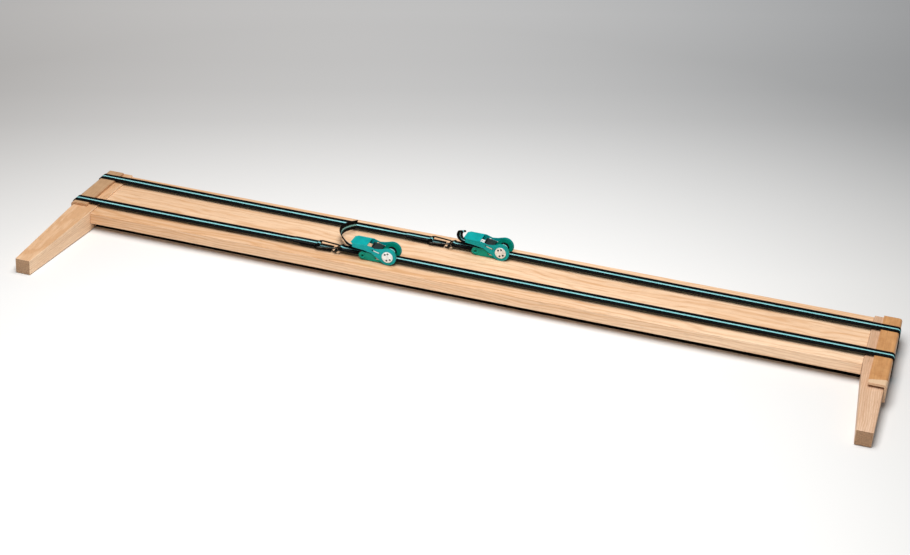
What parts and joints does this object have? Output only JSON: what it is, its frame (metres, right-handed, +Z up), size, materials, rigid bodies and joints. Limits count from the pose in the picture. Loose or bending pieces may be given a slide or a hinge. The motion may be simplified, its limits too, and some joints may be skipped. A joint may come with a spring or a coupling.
{
  "type": "clamped bench side frame",
  "caption": "Side frame of an oak bench, a wide rail between two tapered legs, clamped flat across corner cauls by webbing straps with hooks and ratchet tensioners.",
  "frame": {"origin": "on the floor, under the middle of the whole object", "axes": "+X along the rail towards the right leg, +Y from the feet towards the seat end of the legs, +Z up from the floor the frame lies on"},
  "size_m": [1.815, 0.454, 0.0941],
  "materials": {
    "oak": "planed oak",
    "dowel": "fluted beech dowel",
    "caul": "moulded wood faced with brown paper",
    "webbing": "black woven polyester with a turquoise stripe",
    "frame_paint": "green lacquer on pressed steel",
    "handle_paint": "turquoise lacquer on pressed steel",
    "zinc": "zinc-plated steel"
  },
  "bodies": {
    "bench_frame": {"rail_board": "oak", "left_leg": "oak", "right_leg": "oak", "left_front_dowel": "dowel", "left_back_dowel": "dowel", "right_front_dowel": "dowel", "right_back_dowel": "dowel", "left_corner_caul": "caul", "right_corner_caul": "caul", "front_webbing_top_left": "webbing", "front_webbing_left_turn": "webbing", "front_webbing_under": "webbing", "front_webbing_right_turn": "webbing", "front_webbing_top_right": "webbing", "front_webbing_hook_end": "webbing", "front_hook_flap": "webbing", "front_short_webbing": "webbing", "front_webbing_tail": "webbing", "front_wire_hook": "zinc", "front_hook_ring": "zinc", "front_ratchet_frame": "frame_paint", "front_tie_rivet": "frame_paint", "front_locking_spring": "zinc", "back_webbing_top_left": "webbing", "back_webbing_left_turn": "webbing", "back_webbing_under": "webbing", "back_webbing_right_turn": "webbing", "back_webbing_top_right": "webbing", "back_webbing_hook_end": "webbing", "back_hook_flap": "webbing", "back_short_webbing": "webbing", "back_webbing_tail": "webbing", "back_wire_hook": "zinc", "back_hook_ring": "zinc", "back_ratchet_frame": "frame_paint", "back_tie_rivet": "frame_paint", "back_locking_spring": "zinc"},
    "front_spindle": {"front_spindle_upper_half": "zinc", "front_spindle_lower_half": "zinc", "front_near_wheel": "zinc", "front_far_wheel": "zinc", "front_near_end_disc": "zinc", "front_far_end_disc": "zinc", "front_webbing_roll": "webbing"},
    "front_handle": {"front_handle": "handle_paint", "front_handle_spring": "zinc"},
    "front_handle_pawl": {"front_handle_pawl": "zinc"},
    "front_locking_pawl": {"front_locking_pawl": "zinc"},
    "back_spindle": {"back_spindle_upper_half": "zinc", "back_spindle_lower_half": "zinc", "back_near_wheel": "zinc", "back_far_wheel": "zinc", "back_near_end_disc": "zinc", "back_far_end_disc": "zinc", "back_webbing_roll": "webbing"},
    "back_handle": {"back_handle": "handle_paint", "back_handle_spring": "zinc"},
    "back_handle_pawl": {"back_handle_pawl": "zinc"},
    "back_locking_pawl": {"back_locking_pawl": "zinc"}
  },
  "joints": [
    {"name": "front_handle_hinge", "type": "hinge", "parent": "bench_frame", "child": "front_handle", "pos_m": [-0.163, 0.05728, 0.0646], "axis": [0.0017, 1, 0], "range_deg": [0, 160]},
    {"name": "front_spindle_turn", "type": "hinge", "parent": "bench_frame", "child": "front_spindle", "pos_m": [-0.163, 0.05728, 0.0646], "axis": [0.0017, 1, 0], "continuous": true},
    {"name": "front_handle_pawl_slide", "type": "slide", "parent": "front_handle", "child": "front_handle_pawl", "axis": [-0.9659, 0.0017, 0.2588], "range_m": [0, 0.004], "stiffness_N_per_m": 300, "springref_m": -0.003, "deforming": ["front_handle_spring"]},
    {"name": "front_locking_pawl_slide", "type": "slide", "parent": "bench_frame", "child": "front_locking_pawl", "axis": [-1, 0.0017, 0], "range_m": [0, 0.0035], "stiffness_N_per_m": 300, "springref_m": -0.003, "deforming": ["front_locking_spring"]},
    {"name": "back_handle_hinge", "type": "hinge", "parent": "bench_frame", "child": "back_handle", "pos_m": [0.053, 0.1771, 0.0635], "axis": [0.0075, 1, 0], "range_deg": [0, 160]},
    {"name": "back_spindle_turn", "type": "hinge", "parent": "bench_frame", "child": "back_spindle", "pos_m": [0.053, 0.1771, 0.0635], "axis": [0.0075, 1, 0], "continuous": true},
    {"name": "back_handle_pawl_slide", "type": "slide", "parent": "back_handle", "child": "back_handle_pawl", "axis": [-0.9659, 0.0072, 0.2588], "range_m": [0, 0.004], "stiffness_N_per_m": 300, "springref_m": -0.003, "deforming": ["back_handle_spring"]},
    {"name": "back_locking_pawl_slide", "type": "slide", "parent": "bench_frame", "child": "back_locking_pawl", "axis": [-1, 0.0075, 0], "range_m": [0, 0.0035], "stiffness_N_per_m": 300, "springref_m": -0.003, "deforming": ["back_locking_spring"]}
  ]
}
